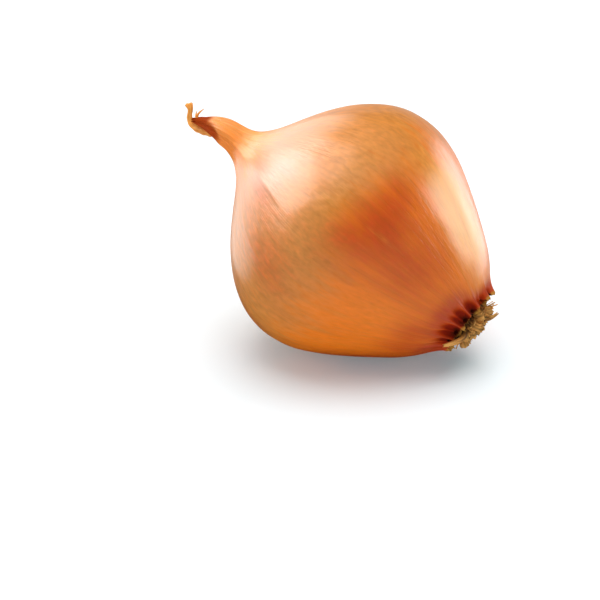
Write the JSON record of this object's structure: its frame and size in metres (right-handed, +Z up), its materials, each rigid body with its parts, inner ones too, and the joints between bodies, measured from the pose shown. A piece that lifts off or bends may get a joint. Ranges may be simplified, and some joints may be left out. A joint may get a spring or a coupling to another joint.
{
  "type": "onion",
  "caption": "Whole yellow onion in its dry skin, lying on its side, with a withered neck and a root plate with trimmed dried roots.",
  "frame": {"origin": "middle of the small flat spot on the bulb's flank that the onion rests on", "axes": "+Z up from the surface; the onion's own axis lies in the XZ plane and rises 31.5 degrees from the surface, from the roots at +X to the neck at -X"},
  "size_m": [0.0956, 0.0754, 0.0727],
  "materials": {
    "onion_skin": "dry papery golden-orange onion skin with a satin sheen, fine lengthwise veins, redder round the root end and browner at the neck",
    "dried_root": "matt olive-tan dried root fibre, darker between the roots"
  },
  "bodies": {
    "root": {"bulb": "onion_skin", "root_plate": "dried_root"}
  },
  "joints": []
}
